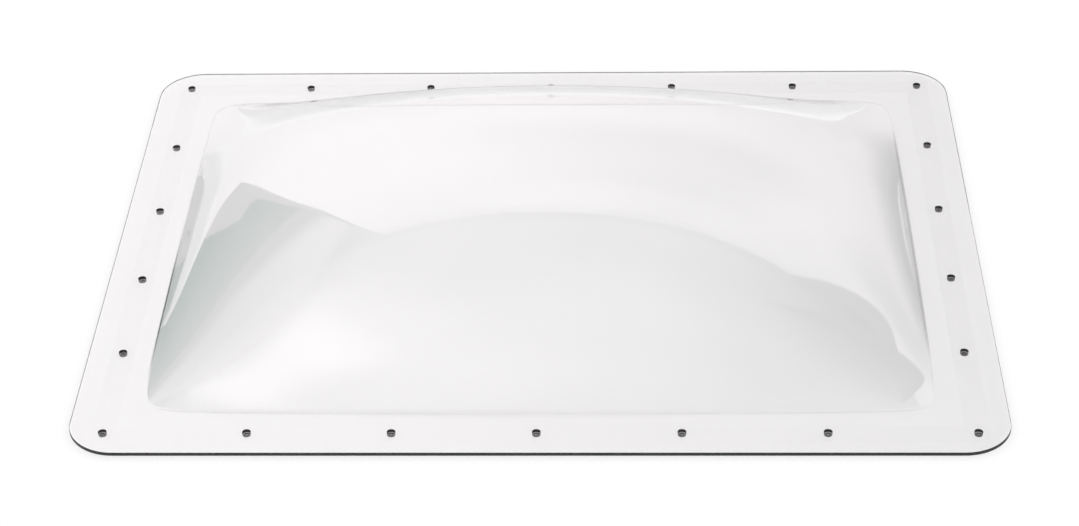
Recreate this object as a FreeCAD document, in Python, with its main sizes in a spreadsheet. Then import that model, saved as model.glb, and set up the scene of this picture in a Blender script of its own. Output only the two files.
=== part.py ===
import FreeCAD, Part
import math
import os

import Sketcher
from FreeCAD import Vector

# Clear skylight dome for a camper roof: one formed sheet, its flange bedded on four lengths of seal tape.
# Millimetres. +Z is up, X runs along the long side, and the origin is the middle of the seal's underside.

doc = FreeCAD.newDocument("rv_skylight")
sheet = doc.addObject("Spreadsheet::Sheet", "sizes")

DRIVING_SIZES = (
    # the flange
    ("flange_length", 711.2),
    ("flange_width", 558.8),
    ("flange_corner_radius", 38.1),
    ("sheet_thickness", 3.0),
    # the dome, measured from the flange's top face
    ("rim_width", 50.8),
    ("dome_rise", 97.0),
    ("dome_fullness", 0.26),
    ("foot_margin", 1.2),
    ("foot_radius", 3.5),
    # the screw holes
    ("hole_diameter", 6.0),
    ("hole_inset_left", 26.9),
    ("hole_inset_right", 25.6),
    ("hole_inset_rows", 25.4),
    ("last_pitch_extra", 2.9),
    ("holes_along_length", 7),
    ("holes_along_width", 6),
    # the seal tape
    ("seal_width", 19.0),
    ("seal_thickness", 1.6),
)

for row, (alias, value) in enumerate(DRIVING_SIZES, start=1):
    sheet.set("A%d" % row, alias)
    sheet.set("B%d" % row, str(value))
    sheet.setAlias("B%d" % row, alias)
doc.recompute()

SKETCH_ORIGIN = (-1, 1)


def size(alias):
    return float(sheet.get(alias))


# Expressions that several pieces share
FLANGE_UNDERSIDE = "sizes.seal_thickness"
FLANGE_TOP = "sizes.seal_thickness + sizes.sheet_thickness"
LONG_SPAN = "(sizes.flange_length - sizes.hole_inset_left - sizes.hole_inset_right)"
LONG_PITCH = "(%s - sizes.last_pitch_extra) / (sizes.holes_along_length - 1)" % LONG_SPAN
SHORT_SPAN = "(sizes.flange_width - 2 * sizes.hole_inset_rows)"
SHORT_PITCH = "%s / (sizes.holes_along_width - 1)" % SHORT_SPAN


def place(obj, x="0", y="0", z="0"):
    obj.setExpression(".Placement.Base.x", "(%s) * 1 mm" % x)
    obj.setExpression(".Placement.Base.y", "(%s) * 1 mm" % y)
    obj.setExpression(".Placement.Base.z", "(%s) * 1 mm" % z)


def add_sketch(body, name):
    plane = next(f for f in body.Origin.OriginFeatures if f.Role == "XY_Plane")
    sketch = body.newObject("Sketcher::SketchObject", name)
    sketch.AttachmentSupport = [(plane, "")]
    sketch.MapMode = "FlatFace"
    return sketch


# A sketch names a point by its geometry and the point's number on it

def start_of(geometry):
    return geometry, 1


def end_of(geometry):
    return geometry, 2


def centre_of(geometry):
    return geometry, 3


def bind_constraint(sketch, constraint, name, expression):
    index = sketch.addConstraint(constraint)
    sketch.renameConstraint(index, name)
    sketch.setExpression("Constraints.%s" % name, expression)


def pad(body, sketch, name, height_expression):
    feature = body.newObject("PartDesign::Pad", name)
    feature.Profile = sketch
    feature.setExpression("Length", height_expression)
    sketch.Visibility = False
    return feature


# The screw holes: one every pitch along all four sides, with the odd pitch at the right

def column_places(first):
    """Expressions for the holes along a long side, measured from the given start."""
    columns = int(size("holes_along_length"))
    places = ["%s + %d * %s" % (first, column, LONG_PITCH) for column in range(columns - 1)]
    return places + ["%s + %s" % (first, LONG_SPAN)]


def row_places(first):
    """Expressions for the holes along a short side, but for the two at its corners."""
    rows = int(size("holes_along_width"))
    return ["%s + %d * %s" % (first, row, SHORT_PITCH) for row in range(1, rows - 1)]


def add_holes(sketch, places, left, front):
    """Add a circle at each place, measured from the points given as (geometry, point number)."""
    radius = size("hole_diameter") / 2
    for number, (x, y) in enumerate(places, start=1):
        centre = Vector(number, number, 0)
        circle = sketch.addGeometry(Part.Circle(centre, Vector(0, 0, 1), radius), False)
        bind_constraint(sketch, Sketcher.Constraint("DistanceX", *left, *centre_of(circle), number),
                        "hole_%d_x" % number, x)
        bind_constraint(sketch, Sketcher.Constraint("DistanceY", *front, *centre_of(circle), number),
                        "hole_%d_y" % number, y)
        bind_constraint(sketch, Sketcher.Constraint("Radius", circle, radius),
                        "hole_%d_radius" % number, "sizes.hole_diameter / 2")


# The flange: a flat rounded rectangle with the screw holes round it

def rounded_rectangle(sketch, length, width, radius):
    """Draw a rounded rectangle about the sketch's origin and return its geometry ids."""
    half_x = length / 2 - radius
    half_y = width / 2 - radius
    quarter = math.pi / 2
    centres = ((half_x, half_y), (-half_x, half_y), (-half_x, -half_y), (half_x, -half_y))
    arcs = []
    for turn, (x, y) in enumerate(centres):
        circle = Part.Circle(Vector(x, y, 0), Vector(0, 0, 1), radius)
        arc = Part.ArcOfCircle(circle, turn * quarter, (turn + 1) * quarter)
        arcs.append(sketch.addGeometry(arc, False))
    lines = []
    for turn in range(len(arcs)):
        start = sketch.Geometry[arcs[turn]].EndPoint
        end = sketch.Geometry[arcs[(turn + 1) % len(arcs)]].StartPoint
        lines.append(sketch.addGeometry(Part.LineSegment(start, end), False))
    for turn, line in enumerate(lines):
        following = arcs[(turn + 1) % len(arcs)]
        sketch.addConstraint(Sketcher.Constraint("Tangent", *end_of(arcs[turn]), *start_of(line)))
        sketch.addConstraint(Sketcher.Constraint("Tangent", *end_of(line), *start_of(following)))
    for turn in (0, 2):
        sketch.addConstraint(Sketcher.Constraint("Horizontal", lines[turn]))
        sketch.addConstraint(Sketcher.Constraint("Vertical", lines[turn + 1]))
    for turn in (1, 2, 3):
        sketch.addConstraint(Sketcher.Constraint("Equal", arcs[0], arcs[turn]))
    opposite_centres = centre_of(arcs[0]) + centre_of(arcs[2])
    sketch.addConstraint(Sketcher.Constraint("Symmetric", *opposite_centres, *SKETCH_ORIGIN))
    return arcs, lines


def flange_hole_places():
    """Every hole, measured from the flange's left and front edges."""
    rows = ("sizes.hole_inset_rows", "sizes.hole_inset_rows + %s" % SHORT_SPAN)
    columns = ("sizes.hole_inset_left", "sizes.hole_inset_left + %s" % LONG_SPAN)
    places = [(x, y) for y in rows for x in column_places("sizes.hole_inset_left")]
    return places + [(x, y) for x in columns for y in row_places("sizes.hole_inset_rows")]


def make_flange_blank():
    body = doc.addObject("PartDesign::Body", "flange_blank")
    sketch = add_sketch(body, "flange_outline")
    length = size("flange_length")
    width = size("flange_width")
    radius = size("flange_corner_radius")
    arcs, lines = rounded_rectangle(sketch, length, width, radius)
    bind_constraint(sketch, Sketcher.Constraint("Radius", arcs[0], radius),
                    "corner_radius", "sizes.flange_corner_radius")
    left_edge = start_of(lines[1])
    right_edge = start_of(lines[3])
    front_edge = start_of(lines[2])
    back_edge = start_of(lines[0])
    bind_constraint(sketch, Sketcher.Constraint("DistanceX", *left_edge, *right_edge, length),
                    "outline_length", "sizes.flange_length")
    bind_constraint(sketch, Sketcher.Constraint("DistanceY", *front_edge, *back_edge, width),
                    "outline_width", "sizes.flange_width")
    add_holes(sketch, flange_hole_places(), left_edge, front_edge)
    pad(body, sketch, "flange_pad", "sizes.sheet_thickness")
    place(body, z=FLANGE_UNDERSIDE)
    return body


# The dome: the shape that a heated sheet takes when air pressure lifts it inside a rectangular frame

MEMBRANE_TERMS = (1, 3, 5, 7, 9, 11)
GRID_COLUMNS = 25
GRID_ROWS = 21
SLOPE_STEP = 0.01


def membrane(u, v, ratio):
    """Height of a membrane lifted evenly inside a frame, for u and v from -1 to 1 across it."""
    height = 0.0
    for term in MEMBRANE_TERMS:
        wave = term * math.pi / 2
        sign = (-1) ** ((term - 1) // 2)
        across = 1 - math.cosh(wave * u * ratio) / math.cosh(wave * ratio)
        height += sign / term ** 3 * math.cos(wave * v) * across
    return height


class Dome:
    """The top face of the formed dome as a height over the flange's top face."""

    def __init__(self):
        foot_half_length = size("flange_length") / 2 - size("rim_width")
        foot_half_width = size("flange_width") / 2 - size("rim_width")
        self.frame_half_length = foot_half_length + size("foot_margin")
        self.frame_half_width = foot_half_width + size("foot_margin")
        self.ratio = self.frame_half_length / self.frame_half_width
        self.crown = membrane(0.0, 0.0, self.ratio)
        self.foot_level = self.filled(0.0, foot_half_width / self.frame_half_width)

    def filled(self, u, v):
        """The membrane's height as a share of its crown, with its shoulders filled out."""
        share = membrane(u, v, self.ratio) / self.crown
        fullness = size("dome_fullness")
        return share * (1 + fullness) / (1 + fullness * share)

    def height(self, x, y):
        share = self.filled(x / self.frame_half_length, y / self.frame_half_width)
        return size("dome_rise") * (share - self.foot_level) / (1 - self.foot_level)

    def point(self, x, y, depth):
        """A point of the sheet under (x, y), the given depth below its top face, square to it."""
        slope_x = (self.height(x + SLOPE_STEP, y) - self.height(x - SLOPE_STEP, y)) / (2 * SLOPE_STEP)
        slope_y = (self.height(x, y + SLOPE_STEP) - self.height(x, y - SLOPE_STEP)) / (2 * SLOPE_STEP)
        normal = Vector(-slope_x, -slope_y, 1)
        normal.normalize()
        return Vector(x, y, self.height(x, y)) - normal * depth


def spread(half, count):
    """Even places from -half to half."""
    return [half * (2 * i / (count - 1) - 1) for i in range(count)]


def make_dome_face(name, depth):
    """The dome's face at the given depth below its top face, out to the frame that it was lifted in."""
    dome = Dome()
    grid_x = spread(dome.frame_half_length, GRID_COLUMNS)
    grid_y = spread(dome.frame_half_width, GRID_ROWS)
    surface = Part.BSplineSurface()
    surface.interpolate([[dome.point(x, y, depth) for y in grid_y] for x in grid_x])
    face = doc.addObject("Part::Feature", name)
    face.Shape = surface.toShape()
    place(face, z=FLANGE_TOP)
    return face


# Tall enough to reach from under the flange to over the crown
SPARE_SHEETS = 4
TALL = "sizes.dome_rise + %d * sizes.sheet_thickness" % SPARE_SHEETS


def make_quarters(name, face, floor_expression):
    """The solid under a dome face, from the given height up, as the four quarters about the crown."""
    column = doc.addObject("Part::Extrusion", name + "_column")
    column.Base = face
    column.DirMode = "Custom"
    column.Dir = Vector(0, 0, -1)
    column.Solid = True
    column.setExpression("LengthFwd", TALL)
    quarters = []
    corners = [(x, y) for x in ("-sizes.flange_length / 2", "0") for y in ("-sizes.flange_width / 2", "0")]
    for number, (corner_x, corner_y) in enumerate(corners, start=1):
        corner_box = doc.addObject("Part::Box", "%s_box_%d" % (name, number))
        corner_box.setExpression("Length", "sizes.flange_length / 2")
        corner_box.setExpression("Width", "sizes.flange_width / 2")
        corner_box.setExpression("Height", TALL)
        place(corner_box, corner_x, corner_y, floor_expression)
        quarter = doc.addObject("Part::Common", "%s_quarter_%d" % (name, number))
        quarter.Base = column
        quarter.Tool = corner_box
        quarters.append(quarter)
    return quarters


# Rounding where the dome meets the flange

# How closely an edge lies at its level, and how far outside the foot it may bulge
FLAT = 0.001
REACH = 1.0


def foot_edges(shape, level):
    """Numbers of the edges at the given height that bound the dome, inside the rim."""
    half_x = size("flange_length") / 2 - size("rim_width") + REACH
    half_y = size("flange_width") / 2 - size("rim_width") + REACH
    numbers = []
    for number, edge in enumerate(shape.Edges, start=1):
        box = edge.BoundBox
        level_edge = abs(box.ZMin - level) < FLAT and abs(box.ZMax - level) < FLAT
        inside = max(-box.XMin, box.XMax) < half_x and max(-box.YMin, box.YMax) < half_y
        if level_edge and inside:
            numbers.append(number)
    return numbers


def round_foot(name, base, level, radius):
    doc.recompute()
    rounded = doc.addObject("Part::Fillet", name)
    rounded.Base = base
    rounded.Edges = [(number, radius, radius) for number in foot_edges(base.Shape, level)]
    return rounded


# The formed sheet: flange and dome in one piece of clear polycarbonate

def make_dome_sheet():
    sheet_thickness = size("sheet_thickness")
    underside = size("seal_thickness")
    top = underside + sheet_thickness

    flange = make_flange_blank()
    bulge = make_quarters("bulge", make_dome_face("dome_top_face", 0.0),
                          "%s + sizes.sheet_thickness / 2" % FLANGE_UNDERSIDE)
    blank = doc.addObject("Part::MultiFuse", "sheet_blank")
    blank.Shapes = [flange] + bulge
    blank.Refine = False
    outside = round_foot("foot_rounded", blank, top, size("foot_radius"))

    hollow = doc.addObject("Part::Compound", "hollow")
    hollow.Links = make_quarters("hollow", make_dome_face("dome_inner_face", sheet_thickness),
                                 "%s - sizes.sheet_thickness" % FLANGE_UNDERSIDE)
    shell = doc.addObject("Part::Cut", "shell")
    shell.Refine = False
    shell.Base = outside
    shell.Tool = hollow
    dome = round_foot("skylight_dome", shell, underside, size("foot_radius") + sheet_thickness)
    dome.Label = "skylight_dome"
    return dome


# The seal: four lengths of tape, centred on the screw holes and butted at the corners

def make_strip(name, length, width, corner_x, corner_y, holes):
    """A length of tape, drawn from its front left corner."""
    body = doc.addObject("PartDesign::Body", name)
    sketch = add_sketch(body, name + "_outline")
    corners = (Vector(0, 0, 0), Vector(1, 0, 0), Vector(1, 1, 0), Vector(0, 1, 0))
    lines = []
    for turn, corner in enumerate(corners):
        following = corners[(turn + 1) % len(corners)]
        lines.append(sketch.addGeometry(Part.LineSegment(corner, following), False))
    for turn, line in enumerate(lines):
        following = lines[(turn + 1) % len(lines)]
        sketch.addConstraint(Sketcher.Constraint("Coincident", *end_of(line), *start_of(following)))
    for turn in (0, 2):
        sketch.addConstraint(Sketcher.Constraint("Horizontal", lines[turn]))
        sketch.addConstraint(Sketcher.Constraint("Vertical", lines[turn + 1]))
    sketch.addConstraint(Sketcher.Constraint("Coincident", *start_of(lines[0]), *SKETCH_ORIGIN))
    bind_constraint(sketch, Sketcher.Constraint("DistanceX", *start_of(lines[0]), *end_of(lines[0]), 1.0),
                    "strip_length", length)
    bind_constraint(sketch, Sketcher.Constraint("DistanceY", *start_of(lines[1]), *end_of(lines[1]), 1.0),
                    "strip_width", width)
    add_holes(sketch, holes, SKETCH_ORIGIN, SKETCH_ORIGIN)
    pad(body, sketch, name + "_pad", "sizes.seal_thickness")
    place(body, corner_x, corner_y)
    body.Label = name
    return body


def make_seal():
    width = "sizes.seal_width"
    middle = "sizes.seal_width / 2"
    left = "sizes.hole_inset_left - sizes.flange_length / 2 - %s" % middle
    right = "sizes.flange_length / 2 - sizes.hole_inset_right - %s" % middle
    front = "sizes.hole_inset_rows - sizes.flange_width / 2 - %s" % middle
    back = "sizes.flange_width / 2 - sizes.hole_inset_rows - %s" % middle
    long_length = "%s + %s" % (LONG_SPAN, width)
    long_holes = [(x, middle) for x in column_places(middle)]
    side_length = "%s - %s" % (SHORT_SPAN, width)
    side_holes = [(middle, y) for y in row_places("-" + middle)]
    side_front = "%s + %s" % (front, width)
    return [
        make_strip("seal_front", long_length, width, left, front, long_holes),
        make_strip("seal_back", long_length, width, left, back, long_holes),
        make_strip("seal_left", width, side_length, left, side_front, side_holes),
        make_strip("seal_right", width, side_length, right, side_front, side_holes),
    ]


def check_and_write(pieces):
    doc.recompute()
    for obj in doc.Objects:
        if "Invalid" in obj.State or "Error" in obj.State:
            raise RuntimeError("%s did not build: %s" % (obj.Label, obj.State))
    for piece in pieces:
        shape = piece.Shape
        if shape.isNull() or not shape.isValid() or len(shape.Solids) != 1:
            raise RuntimeError("%s is not one valid solid" % piece.Label)
    os.makedirs("parts", exist_ok=True)
    for piece in pieces:
        piece.Shape.exportStep("parts/%s.step" % piece.Label)
        print("%s: %.0f mm3, %d faces" % (piece.Label, piece.Shape.Volume, len(piece.Shape.Faces)))


check_and_write([make_dome_sheet()] + make_seal())
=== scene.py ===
import bpy
import math
from mathutils import Matrix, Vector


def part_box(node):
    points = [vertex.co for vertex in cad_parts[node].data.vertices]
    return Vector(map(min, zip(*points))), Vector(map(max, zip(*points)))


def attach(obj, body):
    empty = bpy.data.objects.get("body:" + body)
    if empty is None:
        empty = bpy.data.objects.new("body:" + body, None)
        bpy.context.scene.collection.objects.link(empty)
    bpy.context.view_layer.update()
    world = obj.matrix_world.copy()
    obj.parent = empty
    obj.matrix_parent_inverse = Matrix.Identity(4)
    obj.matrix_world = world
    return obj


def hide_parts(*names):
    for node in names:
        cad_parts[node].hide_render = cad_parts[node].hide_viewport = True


# Clear skylight dome for a camper roof, on the white table of a small studio.
# Metres. +Z is up, X runs along the long side, and the origin is the middle of the seal's underside.

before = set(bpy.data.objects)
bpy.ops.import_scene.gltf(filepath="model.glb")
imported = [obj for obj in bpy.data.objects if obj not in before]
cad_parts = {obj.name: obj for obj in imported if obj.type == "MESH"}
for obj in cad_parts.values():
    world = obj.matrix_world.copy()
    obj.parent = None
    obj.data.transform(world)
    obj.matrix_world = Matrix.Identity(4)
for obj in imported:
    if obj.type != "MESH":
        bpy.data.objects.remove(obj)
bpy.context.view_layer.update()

MM = 0.001
# Whole numbers, such as those of rows, rings and bounces of light, are told apart halfway between them
HALFWAY = 0.5

# Sizes that the frame gives
SHEET_LOW, SHEET_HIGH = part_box("skylight_dome")
LENGTH = SHEET_HIGH.x - SHEET_LOW.x
WIDTH = SHEET_HIGH.y - SHEET_LOW.y
UNDERSIDE = SHEET_LOW.z
CROWN = SHEET_HIGH.z

# Sizes of the formed sheet
SHEET = 3.0 * MM
CORNER_RADIUS = 38.1 * MM
RIM = 50.8 * MM
FULLNESS = 0.26
FOOT_MARGIN = 1.2 * MM
FOOT_RADIUS = 3.5 * MM
FOOT_CORNER = 27.0 * MM
EDGE_CHAMFER = 0.3 * MM

# The screw holes
HOLE_DIAMETER = 6.0 * MM
INSET_LEFT = 26.9 * MM
INSET_RIGHT = 25.6 * MM
INSET_ROWS = 25.4 * MM
ODD_PITCH = 2.9 * MM
HOLES_ALONG_LENGTH = 7
HOLES_ALONG_WIDTH = 6

# The seal tape, drawn a hair clear of what it touches so that no two faces share a plane
TAPE_CLEARANCE = 0.03 * MM


# Geometry trees, written as arithmetic on fields

def feed(tree, slot, value):
    """Give a node's slot a field, another node's socket or a plain value."""
    if isinstance(value, Field):
        tree.links.new(value.socket, slot)
    elif isinstance(value, bpy.types.NodeSocket):
        tree.links.new(value, slot)
    else:
        slot.default_value = value


def add_node(tree, kind, inputs=(), **settings):
    """Add a node, with its settings and its inputs by name or number."""
    node = tree.nodes.new(kind)
    for name, value in settings.items():
        setattr(node, name, value)
    for name, value in dict(inputs).items():
        feed(tree, node.inputs[name], value)
    return node


def calculate(tree, operation, *values):
    return Field(tree, add_node(tree, "ShaderNodeMath", enumerate(values), operation=operation).outputs[0])


class Field:
    """A number that a tree works out at every point of a mesh."""

    def __init__(self, tree, socket):
        self.tree = tree
        self.socket = socket

    def math(self, operation, *values):
        return calculate(self.tree, operation, self, *values)

    def __add__(self, other):
        return self.math("ADD", other)

    def __radd__(self, other):
        return self.math("ADD", other)

    def __sub__(self, other):
        return self.math("SUBTRACT", other)

    def __rsub__(self, other):
        return calculate(self.tree, "SUBTRACT", other, self)

    def __mul__(self, other):
        return self.math("MULTIPLY", other)

    def __rmul__(self, other):
        return self.math("MULTIPLY", other)

    def __truediv__(self, other):
        return self.math("DIVIDE", other)

    def __rtruediv__(self, other):
        return calculate(self.tree, "DIVIDE", other, self)

    def __pow__(self, other):
        return self.math("POWER", other)

    def __abs__(self):
        return self.math("ABSOLUTE")

    def __lt__(self, other):
        return self.math("LESS_THAN", other)

    def __gt__(self, other):
        return self.math("GREATER_THAN", other)

    def least(self, other):
        return self.math("MINIMUM", other)

    def most(self, other):
        return self.math("MAXIMUM", other)

    def share(self):
        """The field held between 0 and 1."""
        return self.most(0.0).least(1.0)


def choose(condition, chosen, otherwise):
    tree = condition.tree
    switch = add_node(tree, "GeometryNodeSwitch",
                      {"Switch": condition, "True": chosen, "False": otherwise}, input_type="FLOAT")
    return Field(tree, switch.outputs[0])


def new_tree(name, inputs, outputs):
    """A tree with the given sockets as (name, kind). Returns it and its inputs by name."""
    tree = bpy.data.node_groups.new(name, "GeometryNodeTree")
    for socket_name, kind in inputs:
        tree.interface.new_socket(socket_name, in_out="INPUT", socket_type="NodeSocket" + kind)
    for socket_name, kind in outputs:
        tree.interface.new_socket(socket_name, in_out="OUTPUT", socket_type="NodeSocket" + kind)
    given = tree.nodes.new("NodeGroupInput")
    return tree, {socket_name: Field(tree, given.outputs[socket_name]) for socket_name, kind in inputs}


def finish_tree(tree, results):
    add_node(tree, "NodeGroupOutput", results)
    return tree


def call(tree, group, inputs):
    """Add a group with its inputs by name, and return its outputs in their order."""
    node = tree.nodes.new("GeometryNodeGroup")
    node.node_tree = group
    for name, value in inputs.items():
        feed(tree, node.inputs[name], value)
    return [Field(tree, socket) for socket in node.outputs]


def floats(*names):
    return [(name, "Float") for name in names]


def split(tree, vector):
    """The X, Y and Z of a vector as fields."""
    parts = add_node(tree, "ShaderNodeSeparateXYZ", {0: vector})
    return [Field(tree, part) for part in parts.outputs]


def split_position(tree):
    return split(tree, tree.nodes.new("GeometryNodeInputPosition").outputs[0])


def set_position(tree, geometry, x, y, z):
    point = add_node(tree, "ShaderNodeCombineXYZ", {0: x, 1: y, 2: z})
    return add_node(tree, "GeometryNodeSetPosition",
                    {"Geometry": geometry, "Position": point.outputs[0]}).outputs[0]


# The dome's rule: the shape that a heated sheet takes when air pressure lifts it inside a rectangular frame

MEMBRANE_TERMS = (1, 3, 5, 7, 9, 11)


def make_membrane():
    """Height and slopes of the lifted sheet as shares of its crown, for U and V from -1 to 1 in the frame."""
    tree, given = new_tree("membrane", floats("U", "V", "Ratio"), floats("Height", "Slope U", "Slope V"))
    heights, slopes_u, slopes_v, crowns = [], [], [], []
    for term in MEMBRANE_TERMS:
        wave = term * math.pi / 2
        weight = (-1) ** ((term - 1) // 2) / term ** 3
        along = given["U"] * given["Ratio"] * wave
        at_frame = (given["Ratio"] * wave).math("COSH")
        across = 1 - along.math("COSH") / at_frame
        cosine = (given["V"] * wave).math("COSINE")
        sine = (given["V"] * wave).math("SINE")
        heights.append(cosine * across * weight)
        slopes_u.append(cosine * along.math("SINH") / at_frame * given["Ratio"] * (-weight * wave))
        slopes_v.append(sine * across * (-weight * wave))
        crowns.append((1 - 1 / at_frame) * weight)
    crown = sum(crowns)
    return finish_tree(tree, {"Height": sum(heights) / crown, "Slope U": sum(slopes_u) / crown,
                              "Slope V": sum(slopes_v) / crown})


def make_filled_membrane(membrane):
    """The membrane with its shoulders filled out, as a vacuum-formed dome has them."""
    tree, given = new_tree("filled_membrane", floats("U", "V", "Ratio", "Fullness"),
                           floats("Height", "Slope U", "Slope V"))
    height, slope_u, slope_v = call(tree, membrane, {name: given[name] for name in ("U", "V", "Ratio")})
    fullness = given["Fullness"]
    thinning = height * fullness + 1
    gain = (fullness + 1) / (thinning * thinning)
    return finish_tree(tree, {"Height": height * (fullness + 1) / thinning,
                              "Slope U": slope_u * gain, "Slope V": slope_v * gain})


def make_dome_rule(filled):
    """Height and slopes of the dome's top face over the flange's top face at X and Y."""
    sizes = floats("X", "Y", "Frame Length", "Frame Width", "Foot", "Rise", "Fullness")
    tree, given = new_tree("dome_rule", sizes, floats("Height", "Slope X", "Slope Y"))
    half_length = given["Frame Length"] / 2
    half_width = given["Frame Width"] / 2
    ratio = half_length / half_width
    shape = {"Ratio": ratio, "Fullness": given["Fullness"]}
    foot_level = call(tree, filled, {**shape, "U": 0.0, "V": given["Foot"] / half_width})[0]
    height, slope_u, slope_v = call(tree, filled, {**shape, "U": given["X"] / half_length,
                                                   "V": given["Y"] / half_width})
    scale = given["Rise"] / (1 - foot_level)
    return finish_tree(tree, {"Height": (height - foot_level) * scale,
                              "Slope X": slope_u * scale / half_length,
                              "Slope Y": slope_v * scale / half_width})


# Rounded outlines, drawn in the quarter where X and Y are positive

CORNER_DENSITY = 2.2
EIGHTH_TURN = math.pi / 4


def make_rounded_outline():
    """A point on a rounded rectangle, for (Across X, Across Y) on the edge of a unit square."""
    sizes = floats("Across X", "Across Y", "Half Length", "Half Width", "Radius")
    tree, given = new_tree("rounded_outline", sizes, floats("X", "Y"))
    radius = given["Radius"]
    corner = radius * (EIGHTH_TURN * CORNER_DENSITY)
    straights, shares, turns = [], [], []
    for axis, half in (("Across X", "Half Length"), ("Across Y", "Half Width")):
        straight = given[half] - radius
        straight_share = straight / (straight + corner)
        straights.append(straight)
        shares.append((given[axis] / straight_share).least(1.0))
        turns.append(((given[axis] - straight_share) / (1 - straight_share)).share() * EIGHTH_TURN)
    angle = turns[1] - turns[0] + EIGHTH_TURN
    return finish_tree(tree, {"X": straights[0] * shares[0] + radius * angle.math("COSINE"),
                              "Y": straights[1] * shares[1] + radius * angle.math("SINE")})


# The screw holes: one every pitch along all four sides, with the odd pitch at the right

SCREW_SIZES = floats("Length", "Width", "Inset Left", "Inset Right", "Inset Rows", "Odd Pitch")
SCREW_COUNTS = [("Holes Along Length", "Int"), ("Holes Along Width", "Int")]


def make_screw_places():
    """A point at each screw hole: a lattice over the flange, without its inside."""
    tree, given = new_tree("screw_places", SCREW_SIZES + SCREW_COUNTS, [("Points", "Geometry")])
    last_column = given["Holes Along Length"] - 1
    last_row = given["Holes Along Width"] - 1
    lattice = add_node(tree, "GeometryNodeMeshGrid",
                       {"Size X": last_column, "Size Y": last_row, "Vertices X": given["Holes Along Length"],
                        "Vertices Y": given["Holes Along Width"]})
    x, y, z = split_position(tree)
    column = (x + last_column / 2).math("ROUND")
    row = (y + last_row / 2).math("ROUND")
    inside = ((column > HALFWAY) * (column < last_column - HALFWAY)
              * (row > HALFWAY) * (row < last_row - HALFWAY))
    span = given["Length"] - given["Inset Left"] - given["Inset Right"]
    pitch = (span - given["Odd Pitch"]) / last_column
    odd = given["Odd Pitch"] * (column > last_column - HALFWAY)
    row_pitch = (given["Width"] - given["Inset Rows"] * 2) / last_row
    kept = add_node(tree, "GeometryNodeDeleteGeometry",
                    {"Geometry": lattice.outputs["Mesh"], "Selection": inside}, domain="POINT").outputs[0]
    hole_x = given["Inset Left"] - given["Length"] / 2 + column * pitch + odd
    hole_y = given["Inset Rows"] - given["Width"] / 2 + row * row_pitch
    return finish_tree(tree, {"Points": set_position(tree, kept, hole_x, hole_y, 0.0)})


DRILL_SIDES = 40
DRILL_LEVELS = 3
BORE_END = 0.5
FLARE_REACH = 2


def make_drill():
    """A drill as a spool: the bore, and flares past the faces that leave a small chamfer at each."""
    tree, given = new_tree("drill", floats("Diameter", "Sheet", "Flare", "Middle"), [("Mesh", "Geometry")])
    cylinder = add_node(tree, "GeometryNodeMeshCylinder",
                        {"Vertices": DRILL_SIDES, "Side Segments": DRILL_LEVELS, "Radius": 1.0,
                         "Depth": float(DRILL_LEVELS)})
    x, y, z = split_position(tree)
    flare = given["Flare"] * (abs(z) - BORE_END) * FLARE_REACH
    radius = given["Diameter"] / 2 + flare
    height = (given["Sheet"] / 2 - given["Flare"] + flare) * z.math("SIGN") + given["Middle"]
    spool = set_position(tree, cylinder.outputs["Mesh"], x * radius, y * radius, height)
    return finish_tree(tree, {"Mesh": spool})


# The formed sheet: rings of a square mesh laid from the flange's edge over the foot and up the dome

CELL = 4.4 * MM
FLAT_RING = 2
FOOT_RING = 3
FOOT_STEPS = 8
ARC_END = FOOT_RING + FOOT_STEPS
FLAT_MARGIN = 2.0 * MM
SEARCH_STEPS = 5
EASE_POWER = 3.0
CORNER_POWER = 2.0
WELD = 0.002 * MM
SHARP_ANGLE = math.radians(30)

FORM_SIZES = floats("Corner Radius", "Sheet", "Underside", "Rim", "Rise", "Fullness", "Foot Margin",
                    "Foot Radius", "Foot Corner", "Edge Chamfer", "Hole Diameter")
MATERIALS = [("Clear", "Material"), ("Painted Edge Shade", "Material")]


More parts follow.
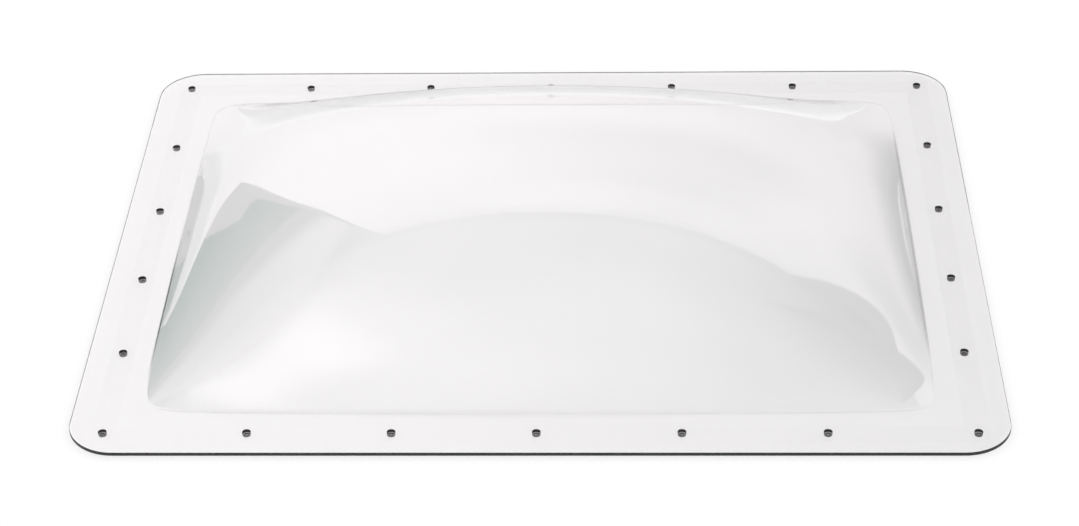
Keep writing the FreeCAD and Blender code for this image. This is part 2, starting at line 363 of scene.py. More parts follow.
def make_formed_sheet(rule, outline, places, drill):
    tree, given = new_tree("formed_sheet", SCREW_SIZES + FORM_SIZES + SCREW_COUNTS
                           + [("Rings Along Length", "Int"), ("Rings Along Width", "Int")] + MATERIALS,
                           [("Mesh", "Geometry")])
    half_length = given["Length"] / 2
    half_width = given["Width"] / 2
    foot_length = half_length - given["Rim"]
    foot_width = half_width - given["Rim"]
    rings_x = given["Rings Along Length"]
    rings_y = given["Rings Along Width"]
    grid = add_node(tree, "GeometryNodeMeshGrid",
                    {"Size X": rings_x * 2, "Size Y": rings_y * 2, "Vertices X": rings_x * 2 + 1,
                     "Vertices Y": rings_y * 2 + 1}).outputs["Mesh"]
    cell_x, cell_y, flat = split_position(tree)
    side_x, side_y = cell_x.math("SIGN"), cell_y.math("SIGN")
    ring = (rings_x - abs(cell_x)).least(rings_y - abs(cell_y)).math("ROUND")
    reach_x, reach_y = rings_x - ring, rings_y - ring
    # the last ring is a line with no width, so its points count as lying on its long sides
    across = {"Across X": abs(cell_x) / reach_x.most(1.0),
              "Across Y": choose(reach_y < HALFWAY, 1.0, abs(cell_y) / reach_y.most(1.0))}

    # the flange's outline, with its chamfer inside it
    inset = given["Edge Chamfer"] * ring.least(1.0)
    edge_x, edge_y = call(tree, outline, {**across, "Half Length": half_length - inset,
                                          "Half Width": half_width - inset,
                                          "Radius": given["Corner Radius"] - inset})

    # the foot, where the dome's rule meets the flange's top face
    dome = {"Frame Length": (foot_length + given["Foot Margin"]) * 2,
            "Frame Width": (foot_width + given["Foot Margin"]) * 2,
            "Foot": foot_width, "Rise": given["Rise"], "Fullness": given["Fullness"]}
    guess_x, guess_y = call(tree, outline, {**across, "Half Length": foot_length, "Half Width": foot_width,
                                            "Radius": given["Foot Corner"]})
    foot_x, foot_y = guess_x, guess_y
    for step in range(SEARCH_STEPS):
        height, slope_x, slope_y = call(tree, rule, {**dome, "X": foot_x, "Y": foot_y})
        share = height / (slope_x * slope_x + slope_y * slope_y)
        foot_x, foot_y = foot_x - slope_x * share, foot_y - slope_y * share
    height, slope_x, slope_y = call(tree, rule, {**dome, "X": foot_x, "Y": foot_y})
    steepness = (slope_x * slope_x + slope_y * slope_y).math("SQRT")
    uphill_x, uphill_y = slope_x / steepness, slope_y / steepness

    # the rounding at the foot, an arc from the flange up to the dome's flank
    rise_angle = steepness.math("ARCTANGENT")
    turn = rise_angle * ((ring - FOOT_RING) / FOOT_STEPS).share()
    radius = given["Foot Radius"]
    tangent = radius * (rise_angle / 2).math("TANGENT")
    inward = radius * turn.math("SINE") - tangent - FLAT_MARGIN * (ring < FOOT_RING)
    arc_x, arc_y = foot_x + uphill_x * inward, foot_y + uphill_y * inward
    arc_height = radius - radius * turn.math("COSINE")
    arc_slope = turn.math("TANGENT")

    # the dome inside the arc, where the rings ease into a plain grid at the crown
    end_inward = radius * rise_angle.math("SINE") - tangent
    end_x, end_y = foot_x + uphill_x * end_inward, foot_y + uphill_y * end_inward
    progress = ((ring - ARC_END) / (rings_y - ARC_END)).share()
    ease = (1 - progress) ** EASE_POWER
    inner_x, inner_y = call(tree, outline,
                            {**across, "Half Length": foot_length * reach_x / (rings_x - ARC_END),
                             "Half Width": foot_width * reach_y / (rings_y - ARC_END),
                             "Radius": given["Foot Corner"] * (1 - progress) ** CORNER_POWER})
    inner_x = inner_x + (end_x - guess_x) * ease
    inner_y = inner_y + (end_y - guess_y) * ease
    inner_height, inner_slope_x, inner_slope_y = call(tree, rule, {**dome, "X": inner_x, "Y": inner_y})

    def by_ring(edge, arc, inner):
        return choose(ring < FLAT_RING - HALFWAY, edge, choose(ring < ARC_END + HALFWAY, arc, inner))

    x = by_ring(edge_x, arc_x, inner_x) * side_x
    y = by_ring(edge_y, arc_y, inner_y) * side_y
    z = by_ring(0.0, arc_height, inner_height)
    lean_x = by_ring(0.0, uphill_x * arc_slope, inner_slope_x) * side_x
    lean_y = by_ring(0.0, uphill_y * arc_slope, inner_slope_y) * side_y
    depth = given["Sheet"] / (lean_x * lean_x + lean_y * lean_y + 1).math("SQRT")
    chamfer = given["Edge Chamfer"] * (ring < HALFWAY)

    # top face, underside and the cut edge between them
    base = given["Underside"] + given["Sheet"]
    top = set_position(tree, grid, x, y, z + base - chamfer)
    underside = set_position(tree, grid, x + lean_x * depth, y + lean_y * depth, z + base - depth + chamfer)
    underside = add_node(tree, "GeometryNodeFlipFaces", {"Mesh": underside}).outputs[0]
    rim_edges = tree.nodes.new("GeometryNodeInputMeshEdgeNeighbors").outputs["Face Count"]
    down = add_node(tree, "ShaderNodeCombineXYZ", {2: given["Edge Chamfer"] * 2 - given["Sheet"]})
    clear_top = add_node(tree, "GeometryNodeSetMaterial",
                         {"Geometry": top, "Material": given["Clear"]}).outputs[0]
    wall = add_node(tree, "GeometryNodeExtrudeMesh",
                    {"Mesh": clear_top, "Selection": Field(tree, rim_edges) < 1 + HALFWAY,
                     "Offset": down.outputs[0], "Offset Scale": 1.0}, mode="EDGES")
    # the cut wall is painted dark as shade
    cut_wall = add_node(tree, "GeometryNodeSetMaterial",
                        {"Geometry": wall.outputs["Mesh"], "Selection": wall.outputs["Side"],
                         "Material": given["Painted Edge Shade"]}).outputs[0]
    clear_underside = add_node(tree, "GeometryNodeSetMaterial",
                               {"Geometry": underside, "Material": given["Clear"]}).outputs[0]
    joined = tree.nodes.new("GeometryNodeJoinGeometry")
    tree.links.new(clear_underside, joined.inputs[0])
    tree.links.new(cut_wall, joined.inputs[0])
    welded = add_node(tree, "GeometryNodeMergeByDistance",
                      {"Geometry": joined.outputs[0], "Distance": WELD})

    # the screw holes
    points = call(tree, places, {name: given[name] for name, kind in SCREW_SIZES + SCREW_COUNTS})[0]
    drill_mesh = call(tree, drill, {"Diameter": given["Hole Diameter"], "Sheet": given["Sheet"],
                                    "Flare": given["Edge Chamfer"],
                                    "Middle": given["Underside"] + given["Sheet"] / 2})[0]
    # the drilled walls are painted dark as shade
    cut_drill = add_node(tree, "GeometryNodeSetMaterial",
                         {"Geometry": drill_mesh, "Material": given["Painted Edge Shade"]})
    drills = add_node(tree, "GeometryNodeInstanceOnPoints",
                      {"Points": points, "Instance": cut_drill.outputs[0]}).outputs[0]
    drills = add_node(tree, "GeometryNodeRealizeInstances", {"Geometry": drills}).outputs[0]
    drilled = add_node(tree, "GeometryNodeMeshBoolean", {"Mesh 1": welded.outputs[0], "Mesh 2": drills},
                       operation="DIFFERENCE", solver="EXACT")

    # smooth faces with sharp edges, and the two finishes: clear, and the painted shade on the cut faces
    smooth = add_node(tree, "GeometryNodeSetShadeSmooth",
                      {"Geometry": drilled.outputs[0], "Shade Smooth": True}, domain="FACE").outputs[0]
    fold = tree.nodes.new("GeometryNodeInputMeshEdgeAngle").outputs["Unsigned Angle"]
    creased = add_node(tree, "GeometryNodeSetShadeSmooth",
                       {"Geometry": smooth, "Selection": Field(tree, fold) > SHARP_ANGLE,
                        "Shade Smooth": False}, domain="EDGE").outputs[0]
    realized = add_node(tree, "GeometryNodeRealizeInstances", {"Geometry": creased}).outputs[0]
    cut_faces = add_node(tree, "GeometryNodeMaterialSelection", {"Material": given["Painted Edge Shade"]}).outputs[0]
    finished = add_node(tree, "GeometryNodeSetMaterial",
                        {"Geometry": realized, "Selection": 1 - Field(tree, cut_faces),
                         "Material": given["Clear"]}).outputs[0]
    return finish_tree(tree, {"Mesh": finished})


# The seal tape: a flat strip punched at the screw holes

PUNCH_SIDES = 24


def make_tape_strip(places):
    tree, given = new_tree("tape_strip", floats("Low X", "Low Y", "Low Z", "High X", "High Y", "High Z")
                           + SCREW_SIZES + floats("Hole Diameter") + SCREW_COUNTS
                           + [("Tape", "Material"), ("Painted Edge Shade", "Material")],
                           [("Mesh", "Geometry")])
    middle_x = (given["Low X"] + given["High X"]) / 2
    middle_y = (given["Low Y"] + given["High Y"]) / 2
    length = given["High X"] - given["Low X"]
    width = given["High Y"] - given["Low Y"]
    points = call(tree, places, {name: given[name] for name, kind in SCREW_SIZES + SCREW_COUNTS})[0]
    x, y, z = split_position(tree)
    outside = (abs(x - middle_x) > length / 2).most(abs(y - middle_y) > width / 2)
    border = given["Hole Diameter"] / 4
    within = (abs(x - middle_x) < length / 2 - border) * (abs(y - middle_y) < width / 2 - border)
    on_strip = add_node(tree, "GeometryNodeDeleteGeometry",
                        {"Geometry": points, "Selection": outside}, domain="POINT")
    circle = add_node(tree, "GeometryNodeCurvePrimitiveCircle",
                      {"Resolution": PUNCH_SIDES, "Radius": given["Hole Diameter"] / 2})
    punches = add_node(tree, "GeometryNodeInstanceOnPoints",
                       {"Points": on_strip.outputs[0], "Instance": circle.outputs["Curve"]})
    rectangle = add_node(tree, "GeometryNodeCurvePrimitiveQuadrilateral", {"Width": length, "Height": width})
    centre = add_node(tree, "ShaderNodeCombineXYZ", {0: middle_x, 1: middle_y})
    rectangle = add_node(tree, "GeometryNodeTransform",
                         {"Geometry": rectangle.outputs[0], "Translation": centre.outputs[0]})
    outlines = tree.nodes.new("GeometryNodeJoinGeometry")
    tree.links.new(rectangle.outputs[0], outlines.inputs[0])
    tree.links.new(punches.outputs[0], outlines.inputs[0])
    curves = add_node(tree, "GeometryNodeRealizeInstances", {"Geometry": outlines.outputs[0]})
    flat = add_node(tree, "GeometryNodeFillCurve", {"Curve": curves.outputs[0]}, mode="TRIANGLES").outputs[0]
    base = set_position(tree, flat, x, y, given["Low Z"])
    up = add_node(tree, "ShaderNodeCombineXYZ", {2: given["High Z"] - given["Low Z"]})
    raised = add_node(tree, "GeometryNodeExtrudeMesh",
                      {"Mesh": base, "Offset": up.outputs[0], "Offset Scale": 1.0, "Individual": False},
                      mode="FACES")
    plain = add_node(tree, "GeometryNodeSetMaterial",
                     {"Geometry": raised.outputs["Mesh"], "Material": given["Tape"]}).outputs[0]
    # the punched walls are painted dark as shade, like the cut edge of the sheet
    punched = add_node(tree, "GeometryNodeSetMaterial",
                       {"Geometry": plain, "Selection": within * Field(tree, raised.outputs["Side"]),
                        "Material": given["Painted Edge Shade"]}).outputs[0]
    underside = add_node(tree, "GeometryNodeFlipFaces", {"Mesh": base})
    joined = tree.nodes.new("GeometryNodeJoinGeometry")
    tree.links.new(underside.outputs[0], joined.inputs[0])
    tree.links.new(punched, joined.inputs[0])
    welded = add_node(tree, "GeometryNodeMergeByDistance", {"Geometry": joined.outputs[0], "Distance": WELD})
    realized = add_node(tree, "GeometryNodeRealizeInstances", {"Geometry": welded.outputs[0]}).outputs[0]
    cut_faces = add_node(tree, "GeometryNodeMaterialSelection", {"Material": given["Painted Edge Shade"]}).outputs[0]
    finished = add_node(tree, "GeometryNodeSetMaterial",
                        {"Geometry": realized, "Selection": 1 - Field(tree, cut_faces),
                         "Material": given["Tape"]})
    return finish_tree(tree, {"Mesh": finished.outputs[0]})


def grow(name, tree, values):
    """Run a tree with the given inputs by name, and return its mesh as a plain object."""
    seed = bpy.data.objects.new(name + "_seed", bpy.data.meshes.new(name + "_seed"))
    bpy.context.scene.collection.objects.link(seed)
    modifier = seed.modifiers.new(name, "NODES")
    modifier.node_group = tree
    for item in tree.interface.items_tree:
        if item.in_out == "INPUT":
            modifier[item.identifier] = values[item.name]
    evaluated = seed.evaluated_get(bpy.context.evaluated_depsgraph_get())
    mesh = bpy.data.meshes.new_from_object(evaluated)
    mesh.name = name
    while None in list(mesh.materials):
        mesh.materials.pop(index=list(mesh.materials).index(None))
    bpy.data.objects.remove(seed)
    piece = bpy.data.objects.new(name, mesh)
    bpy.context.scene.collection.objects.link(piece)
    return piece


# Finishes

def fade(tree, value, start, end, first=0.0, last=1.0):
    """A soft step from first, where the value is start, to last, where it is end."""
    step = add_node(tree, "ShaderNodeMapRange", {"Value": value, "From Min": start, "From Max": end,
                                                 "To Min": first, "To Max": last},
                    interpolation_type="SMOOTHSTEP")
    return Field(tree, step.outputs["Result"])


def new_material(name):
    material = bpy.data.materials.new(name)
    material.use_nodes = True
    return material, material.node_tree, material.node_tree.nodes["Principled BSDF"]


def find_place(tree, stretch=(1, 1, 1)):
    """Object coordinates. A stretch makes a grain that runs one way."""
    place = tree.nodes.new("ShaderNodeTexCoord").outputs["Object"]
    return add_node(tree, "ShaderNodeMapping", {"Vector": place, "Scale": stretch}).outputs[0]


def add_cloud(tree, place, size, detail=2.0):
    """Soft noise with patches of about the given size. It is mostly between CLOUD_LOW and CLOUD_HIGH."""
    noise = add_node(tree, "ShaderNodeTexNoise", {"Vector": place, "Scale": 1 / size, "Detail": detail})
    return Field(tree, noise.outputs[0])


# The mix node's sockets for colours, by number, because its other sockets have the same names
FIRST_COLOUR = 6
SECOND_COLOUR = 7
MIXED_COLOUR = 2


def blend_colours(tree, share, first, second):
    mix = add_node(tree, "ShaderNodeMix", {0: share, FIRST_COLOUR: first, SECOND_COLOUR: second},
                   data_type="RGBA")
    return mix.outputs[MIXED_COLOUR]


def raise_surface(tree, shader, height, distance):
    bump = add_node(tree, "ShaderNodeBump", {"Height": height, "Strength": 1.0, "Distance": distance})
    feed(tree, shader.inputs["Normal"], bump.outputs[0])


CLOUD_LOW = 0.3
CLOUD_HIGH = 0.7

# Painted shade along the bend at the foot of the short sides: its line in X, and where it fades in and out
# along Y
CREASE_PAINTED_SHADE = (0.22, 0.225, 0.225, 1)
CREASE_AT = 303 * MM
CREASE_SHIFT = 1.2 * MM
CREASE_WIDTH = 1.5 * MM
CREASE_CORE = 0.3 * MM
SIDES_BLEND = 100 * MM
LEFT_FRONT = (-195 * MM, -120 * MM)
LEFT_BACK = (30 * MM, -60 * MM)
RIGHT_FRONT = (-170 * MM, -120 * MM)
RIGHT_BACK = (190 * MM, 140 * MM)
RIGHT_SHADE_SHARE = 0.4


def find_painted_crease_shade(tree, x, y):
    """Painted shade along the bend at the foot of the two short sides, where the bend leads the light away.
    It is sharper at the left.
    """
    line = fade(tree, abs(abs(x + CREASE_SHIFT) - CREASE_AT), CREASE_WIDTH, CREASE_CORE)
    left = (fade(tree, x, SIDES_BLEND, -SIDES_BLEND)
            * fade(tree, y, *LEFT_FRONT) * fade(tree, y, *LEFT_BACK))
    right = (fade(tree, x, -SIDES_BLEND, SIDES_BLEND, 0.0, RIGHT_SHADE_SHARE)
             * fade(tree, y, *RIGHT_FRONT) * fade(tree, y, *RIGHT_BACK))
    return line * (left + right)


FLANGE_TINT = (0.934, 0.93, 0.93, 1)
CROWN_TINT = (0.946, 0.94, 0.942, 1)
RIPPLE_SIZE = 110 * MM
RIPPLE_DETAIL = 1.0
RIPPLE_HEIGHT = 0.12 * MM
HAZE_SIZE = 45 * MM
HAZE_ROUGHNESS = (0.005, 0.02)
WIPE_SIZE = 3 * MM
WIPE_GRAIN = (1, 0.15, 0.15)
WIPE_ROUGHNESS = (0.0, 0.015)
CLEAR_IOR = 1.585


def make_clear():
    """Clear polycarbonate: clearer where the crown is stretched thin, rippled by forming, hazed by wiping,
    with a painted dark line of shade along the foot of the short sides.
    """
    material, tree, shader = new_material("clear_polycarbonate")
    place = find_place(tree)
    x, y, height = split(tree, place)
    stretched = fade(tree, height, UNDERSIDE + SHEET, CROWN)
    sheet_tint = blend_colours(tree, stretched, FLANGE_TINT, CROWN_TINT)
    # painted shade: a darker tint along the bend at the foot of the short sides
    tint = blend_colours(tree, find_painted_crease_shade(tree, x, y), sheet_tint, CREASE_PAINTED_SHADE)
    feed(tree, shader.inputs["Base Color"], tint)
    haze = fade(tree, add_cloud(tree, place, HAZE_SIZE), CLOUD_LOW, CLOUD_HIGH, *HAZE_ROUGHNESS)
    streaks = add_cloud(tree, find_place(tree, WIPE_GRAIN), WIPE_SIZE)
    wipes = fade(tree, streaks, CLOUD_LOW, CLOUD_HIGH, *WIPE_ROUGHNESS)
    feed(tree, shader.inputs["Roughness"], haze + wipes)
    raise_surface(tree, shader, add_cloud(tree, place, RIPPLE_SIZE, RIPPLE_DETAIL), RIPPLE_HEIGHT)
    shader.inputs["Transmission Weight"].default_value = 1.0
    shader.inputs["IOR"].default_value = CLEAR_IOR
    return material


SAW_MARK = 0.4 * MM
SAW_GRAIN = (1, 1, 0.12)
SAW_DETAIL = 3.0
SAW_DEPTH = 0.05 * MM
SAW_PATCH = 20 * MM
MARK_SHARE = 0.7
PATCH_SHARE = 0.3
# Painted shade: the cut faces are drawn near black, varied by the saw marks
CUT_SHADE_DARK = (0.011, 0.012, 0.012, 1)
CUT_SHADE_LIGHT = (0.034, 0.036, 0.037, 1)
CUT_ROUGHNESS = (0.28, 0.46)


def make_cut_edge():
    """The sheet where it was sawn and drilled, painted dark as shade: it leads the light away along the
    sheet, so it looks dark. The saw marks and patches vary it.
    """
    material, tree, shader = new_material("cut_edge_painted_shade")
    marks = add_cloud(tree, find_place(tree, SAW_GRAIN), SAW_MARK, SAW_DETAIL)
    patches = add_cloud(tree, find_place(tree), SAW_PATCH)
    wear = fade(tree, marks * MARK_SHARE + patches * PATCH_SHARE, CLOUD_LOW, CLOUD_HIGH)
    feed(tree, shader.inputs["Base Color"], blend_colours(tree, wear, CUT_SHADE_DARK, CUT_SHADE_LIGHT))
    feed(tree, shader.inputs["Roughness"], fade(tree, marks, CLOUD_LOW, CLOUD_HIGH, *CUT_ROUGHNESS))
    raise_surface(tree, shader, marks, SAW_DEPTH)
    return material


TAPE_GRAIN = 0.8 * MM
TAPE_DETAIL = 3.0
TAPE_DEPTH = 0.02 * MM
TAPE_PATCH = 12 * MM
TAPE_DULL = (0.978, 0.984, 0.98, 1)
TAPE_BRIGHT = (0.992, 0.995, 0.993, 1)
TAPE_ROUGHNESS = (0.05, 0.13)
TAPE_IOR = 1.25
TAPE_ALPHA = 0.04


def make_tape():
    """Clear sealing tape: nearly unseen under the clear sheet, with the faint grain of its carrier."""
    material, tree, shader = new_material("seal_tape")
    place = find_place(tree)
    grain = add_cloud(tree, place, TAPE_GRAIN, TAPE_DETAIL)
    patches = fade(tree, add_cloud(tree, place, TAPE_PATCH), CLOUD_LOW, CLOUD_HIGH)
    feed(tree, shader.inputs["Base Color"], blend_colours(tree, patches, TAPE_DULL, TAPE_BRIGHT))
    feed(tree, shader.inputs["Roughness"], fade(tree, grain, CLOUD_LOW, CLOUD_HIGH, *TAPE_ROUGHNESS))
    raise_surface(tree, shader, grain, TAPE_DEPTH)
    shader.inputs["Transmission Weight"].default_value = 1.0
    shader.inputs["IOR"].default_value = TAPE_IOR
    shader.inputs["Alpha"].default_value = TAPE_ALPHA
    return material


clear = make_clear()
cut_edge_painted_shade = make_cut_edge()
tape = make_tape()

rule = make_dome_rule(make_filled_membrane(make_membrane()))
outline = make_rounded_outline()
places = make_screw_places()
formed_sheet = make_formed_sheet(rule, outline, places, make_drill())

screw_values = {"Length": LENGTH, "Width": WIDTH, "Inset Left": INSET_LEFT, "Inset Right": INSET_RIGHT,
                "Inset Rows": INSET_ROWS, "Odd Pitch": ODD_PITCH, "Holes Along Length": HOLES_ALONG_LENGTH,
                "Holes Along Width": HOLES_ALONG_WIDTH}
form_values = {"Corner Radius": CORNER_RADIUS, "Sheet": SHEET, "Underside": UNDERSIDE, "Rim": RIM,
               "Rise": CROWN - UNDERSIDE - SHEET, "Fullness": FULLNESS, "Foot Margin": FOOT_MARGIN,
               "Foot Radius": FOOT_RADIUS, "Foot Corner": FOOT_CORNER, "Edge Chamfer": EDGE_CHAMFER,
               "Hole Diameter": HOLE_DIAMETER,
               "Rings Along Length": ARC_END + round((LENGTH / 2 - RIM) / CELL),
               "Rings Along Width": ARC_END + round((WIDTH / 2 - RIM) / CELL),
               "Clear": clear, "Painted Edge Shade": cut_edge_painted_shade}
dome = grow("clear_dome", formed_sheet, {**screw_values, **form_values})
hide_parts("skylight_dome")
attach(dome, "root")

tape_strip = make_tape_strip(places)
for side in ("front", "back", "left", "right"):
    node = "seal_" + side
    low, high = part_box(node)
    strip = grow("tape_" + side, tape_strip, {
        **screw_values, "Hole Diameter": HOLE_DIAMETER, "Tape": tape, "Painted Edge Shade": cut_edge_painted_shade,
        "Low X": low.x, "Low Y": low.y, "Low Z": low.z + TAPE_CLEARANCE,
        "High X": high.x, "High Y": high.y, "High Z": high.z - TAPE_CLEARANCE})
    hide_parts(node)
    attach(strip, "root")


# The studio: a white table in plain even light, with lit boards and a dim room that only the gloss shows.
# Each fade of light says where it starts and ends, and its values there if they aren't 0 and 1.

TABLE = 6.0
TABLE_PAINT = (0.42, 0.42, 0.42, 1)
TABLE_LIFT = 0.6
TABLE_MIRRORED = (0.4, 1.2, -0.13, 0.15)
WHITE = (1, 1, 1, 1)
WARM_LIGHT = (1.04, 0.995, 1.015, 1)


def new_stage_material(name):
    material = bpy.data.materials.new(name)
    material.use_nodes = True
    material.node_tree.nodes.clear()
    return material, material.node_tree


def find_object_place(tree):
    return split(tree, tree.nodes.new("ShaderNodeTexCoord").outputs["Object"])


def find_mirrored(tree):
    """1 for a ray that came by way of a mirror reflection, and 0 for light that lands on matt surfaces."""
    ray = tree.nodes.new("ShaderNodeLightPath")
    return ((Field(tree, ray.outputs["Glossy Depth"]) > HALFWAY)
            * (Field(tree, ray.outputs["Diffuse Depth"]) < HALFWAY))


def make_table():
    """White paint that keeps shadows, lifted to white where the camera, gloss or clear sheet shows it."""
    material, tree = new_stage_material("white_table")
    ray = tree.nodes.new("ShaderNodeLightPath")
    camera_ray, glossy_ray, clear_ray = (
        Field(tree, ray.outputs[name]) for name in ("Is Camera Ray", "Is Glossy Ray", "Is Transmission Ray"))
    seen = camera_ray.most(glossy_ray).most(clear_ray)
    x, y, z = find_object_place(tree)
    mirrored = find_mirrored(tree) * fade(tree, y, *TABLE_MIRRORED)
    paint = add_node(tree, "ShaderNodeBsdfDiffuse", {"Color": TABLE_PAINT})
    lift = add_node(tree, "ShaderNodeEmission", {"Strength": seen * TABLE_LIFT + mirrored})
    both = add_node(tree, "ShaderNodeAddShader", {0: paint.outputs[0], 1: lift.outputs[0]})
    add_node(tree, "ShaderNodeOutputMaterial", {0: both.outputs[0]})
    return material


def make_mirrored_light(name, light):
    """A board that shows in the sheet's gloss alone. light gives its level and its cover for X, Y and Z."""
    material, tree = new_stage_material(name)
    level, cover = light(tree, *find_object_place(tree))
    glow = add_node(tree, "ShaderNodeEmission", {"Color": WARM_LIGHT, "Strength": level})
    clear_air = tree.nodes.new("ShaderNodeBsdfTransparent")
    mix = add_node(tree, "ShaderNodeMixShader",
                   {0: find_mirrored(tree) * cover, 1: clear_air.outputs[0], 2: glow.outputs[0]})
    add_node(tree, "ShaderNodeOutputMaterial", {0: mix.outputs[0]})
    return material


# The wall behind the table, drawn in X and Z. Its left and right sides stand in half shade.
WALL_Y = 2.15
WALL_TOP = 4.14
WALL_OUTLINE = ((-1.85, 0.0), (-1.78, 0.05), (-1.61, 0.19), (-1.53, 0.24), (-1.57, 1.4), (-1.57, WALL_TOP),
                (2.39, WALL_TOP), (2.39, 0.0))
LEFT_SIDE = ((-1.85, 0.0), (-1.84, 0.4), (-1.79, 0.58), (-1.67, 0.57), (-1.62, 0.64), (-1.62, 1.3),
             (-1.57, WALL_TOP), (-1.57, 1.4), (-1.53, 0.24), (-1.61, 0.19), (-1.78, 0.05))
RIGHT_SIDE = ((2.39, 0.9), (2.47, 0.9), (2.56, 2.2), (2.64, 2.94), (2.8, WALL_TOP), (2.39, WALL_TOP))
WALL_LIGHT = (-0.8, 2.2, 1.1, 1.92)
WALL_FOOT = (0.0, 0.5, 0.94, 1.0)
WALL_HEAD = (3.7, 3.8, 1.0, 0.86)
WALL_RIGHT_HALF = (-0.2, 1.0, 1.0, 0.78)
WALL_RIGHT_END = (1.5, 2.3, 1.0, 0.86)
DIP_LEFT = (-0.6, 0.1, 0.0, 0.28)
DIP_RIGHT = (1.7, 1.1)
DIP_LOW = (0.6, 1.2)
DIP_HIGH = (3.0, 2.3)
SHADE_LEFT = (1.8, 2.3, 0.0, 0.35)
SHADE_LOW = (0.3, 0.7)
SHADE_HIGH = (1.7, 1.1)
SIDE_LIGHT = (0.0, 0.1, 0.55, 0.17)


def light_wall(tree, x, y, z):
    """Dimmer towards the table and the right, with a dip right of the middle and a shade low at the right."""
    upwards = fade(tree, z, *WALL_LIGHT) * fade(tree, z, *WALL_FOOT) * fade(tree, z, *WALL_HEAD)
    sideways = fade(tree, x, *WALL_RIGHT_HALF) * fade(tree, x, *WALL_RIGHT_END)
    dip = (fade(tree, x, *DIP_LEFT) * fade(tree, z, *DIP_LOW) * fade(tree, z, *DIP_HIGH)
           * fade(tree, x, *DIP_RIGHT))
    shade = fade(tree, x, *SHADE_LEFT) * fade(tree, z, *SHADE_LOW) * fade(tree, z, *SHADE_HIGH)
    return upwards * sideways - dip - shade, 1.0


def light_wall_side(tree, x, y, z):
    """The wall's sides, the right one deeper in the shade."""
    return fade(tree, x, *SIDE_LIGHT), 1.0


# The ceiling: its spread of light, two brighter parts at the left, and the lamp with its glow and its tube
CEILING_FORWARDS = (1.2, -1.2, 1.15, 1.72)
CEILING_FRONT = (-1.0, -3.6, 0.0, 0.6)
CEILING_SLANT = 0.23
CEILING_RIGHT = (3.0, 0.0)
CEILING_LEFT = (-1.6, -6.5, 1.0, 0.2)
CEILING_AT_WALL = (1.75, 2.15, 1.0, 0.82)
CEILING_BACK = (3.6, 5.0, 1.0, 0.0)
LEFT_PART = (0.3, -0.9, 0.0, 0.3)
LEFT_PART_BACK = (-0.4, 1.0)
LEFT_PART_END = (-1.3, -2.4, 1.0, 0.0)
FAR_PART = (-2.1, -2.4, 0.0, 0.4)
FAR_PART_BACK = (0.5, 0.9)
LAMP_X = -1.5
LAMP_Y = -0.5
LAMP_COSINE = 0.93
LAMP_SINE = 0.366
GLOW_STRETCH = 0.16
GLOW = (0.0, 1.1, 0.8, 0.0)
TUBE_SIDE = (0.0, 0.35, 0.6, 0.0)
TUBE_END = (0.9, 2.2, 1.0, 0.0)


def light_ceiling(tree, x, y, z):
    """A long slanting lamp over the left, and light that fades towards the right and the back."""
    forwards = fade(tree, y, *CEILING_FORWARDS) + fade(tree, y, *CEILING_FRONT)
    spread = (fade(tree, x - y * CEILING_SLANT, *CEILING_RIGHT) * forwards * fade(tree, x, *CEILING_LEFT)
              * fade(tree, y, *CEILING_AT_WALL) * fade(tree, y, *CEILING_BACK))
    left_part = fade(tree, x, *LEFT_PART) * fade(tree, y, *LEFT_PART_BACK) * fade(tree, x, *LEFT_PART_END)
    far_part = fade(tree, x, *FAR_PART) * fade(tree, y, *FAR_PART_BACK)
    across = (x - LAMP_X) * LAMP_COSINE + (y - LAMP_Y) * LAMP_SINE
    along = (y - LAMP_Y) * LAMP_COSINE - (x - LAMP_X) * LAMP_SINE
    distance = (across * across + along * along * GLOW_STRETCH).math("SQRT")
    tube = fade(tree, abs(across), *TUBE_SIDE) * fade(tree, abs(along), *TUBE_END)
    return spread + left_part + far_part + fade(tree, distance, *GLOW) + tube, 1.0


# A low flag close to the right of the sheet, and a curtain behind it that ends just behind the middle
FLAG_X = 0.42
FLAG_REACH = 0.6
FLAG_WHOLE = 0.35
FLAG_TOP = 0.055
FLAG_LEVEL = 0.3
CURTAIN_X = 0.47
CURTAIN_FRONT = -0.3
CURTAIN_BACK = 0.042
CURTAIN_TOP = 0.95
CURTAIN_WHOLE = 0.5
CURTAIN_LEVEL = 0.05
CURTAIN_THIN = (CURTAIN_FRONT, -0.05, 0.0, 0.2)
CURTAIN_THICK = (-0.02, 0.035, 0.0, 0.75)


def light_flag(tree, x, y, z):
    """The dim edge of the table at the right, thinning out upwards and backwards."""
    return FLAG_LEVEL, fade(tree, z, FLAG_TOP, 0.0) * fade(tree, y, FLAG_REACH, FLAG_WHOLE)


def light_curtain(tree, x, y, z):
    """The dark right end of the room, which shows in the sheet's right front corner."""
    cover = fade(tree, y, *CURTAIN_THIN) + fade(tree, y, *CURTAIN_THICK)
    return CURTAIN_LEVEL, cover * fade(tree, z, CURTAIN_TOP, CURTAIN_WHOLE)


def make_board(name, corners, material):
    mesh = bpy.data.meshes.new(name)
    mesh.from_pydata(corners, [], [list(range(len(corners)))])
    mesh.materials.append(material)
    board = bpy.data.objects.new(name, mesh)
    bpy.context.scene.collection.objects.link(board)


def lay_flat(height):
    signs = ((-1, -1), (1, -1), (1, 1), (-1, 1))
    return [(TABLE * across, TABLE * along, height) for across, along in signs]


def hang_on_wall(outline):
    return [(x, WALL_Y, z) for x, z in outline]


def stand_at_right(x, front, back, top):
    return [(x, front, 0), (x, back, 0), (x, back, top), (x, front, top)]


# The rest of the room, by the direction that a mirrored ray leaves in
ROOM_BACK = (0.0, 0.15, 0.09, 1)
ROOM_HIGH = (0.42, 0.5, 0.5, 1)
ROOM_FRONT = (0.5, 0.5, 0.5, 1)
LOOK_UP = (0.33, 0.75)
LOOK_LEFT = (-0.46, -0.57)
LOOK_FORWARDS = (0.6, 0.25)


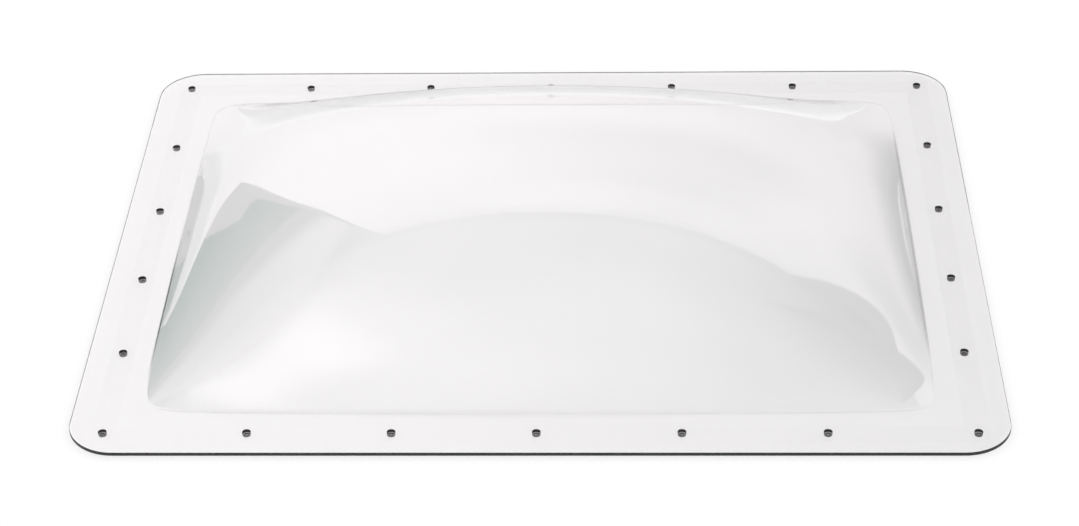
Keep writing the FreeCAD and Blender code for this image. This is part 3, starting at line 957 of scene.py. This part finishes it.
def make_room():
    """Plain white all round, but dim where the gloss shows what is behind and beside the table."""
    world = bpy.data.worlds.new("room")
    world.use_nodes = True
    tree = world.node_tree
    x, y, z = split(tree, tree.nodes.new("ShaderNodeTexCoord").outputs["Generated"])
    back = blend_colours(tree, fade(tree, z, *LOOK_UP) * fade(tree, x, *LOOK_LEFT), ROOM_BACK, ROOM_HIGH)
    dim = blend_colours(tree, fade(tree, y, *LOOK_FORWARDS), back, ROOM_FRONT)
    colour = blend_colours(tree, find_mirrored(tree), WHITE, dim)
    feed(tree, tree.nodes["Background"].inputs["Color"], colour)
    return world


make_board("floor", lay_flat(0), make_table())
make_board("wall", hang_on_wall(WALL_OUTLINE), make_mirrored_light("wall_light", light_wall))
side_light = make_mirrored_light("side_light", light_wall_side)
make_board("left_side", hang_on_wall(LEFT_SIDE), side_light)
make_board("right_side", hang_on_wall(RIGHT_SIDE), side_light)
make_board("ceiling", lay_flat(WALL_TOP)[::-1], make_mirrored_light("ceiling_light", light_ceiling))
make_board("flag", stand_at_right(FLAG_X, -FLAG_REACH, FLAG_REACH, FLAG_TOP),
           make_mirrored_light("flag_grey", light_flag))
make_board("curtain", stand_at_right(CURTAIN_X, CURTAIN_FRONT, CURTAIN_BACK, CURTAIN_TOP),
           make_mirrored_light("curtain_dark", light_curtain))
bpy.context.scene.world = make_room()

# The camera, solved from the flange's four edges and the screw holes
CAMERA_PLACE = (0.06675, -1.82802, 1.23720)
CAMERA_ROLL = 0.14
CAMERA_PAN = -1.86
CAMERA_TILT = -55.57
LENS = 88.69
SENSOR = 36.0
FARTHEST = 100.0

camera_data = bpy.data.cameras.new("camera")
camera = bpy.data.objects.new("camera", camera_data)
bpy.context.scene.collection.objects.link(camera)
turns = (("Z", CAMERA_ROLL), ("Y", CAMERA_PAN), ("X", CAMERA_TILT))
roll, pan, tilt = (Matrix.Rotation(math.radians(angle), 3, axis) for axis, angle in turns)
camera.matrix_world = Matrix.Translation(CAMERA_PLACE) @ (roll @ pan @ tilt).transposed().to_4x4()
camera_data.lens = LENS
camera_data.sensor_width = SENSOR
camera_data.clip_end = FARTHEST
bpy.context.scene.camera = camera
bpy.context.scene.view_settings.view_transform = "Standard"
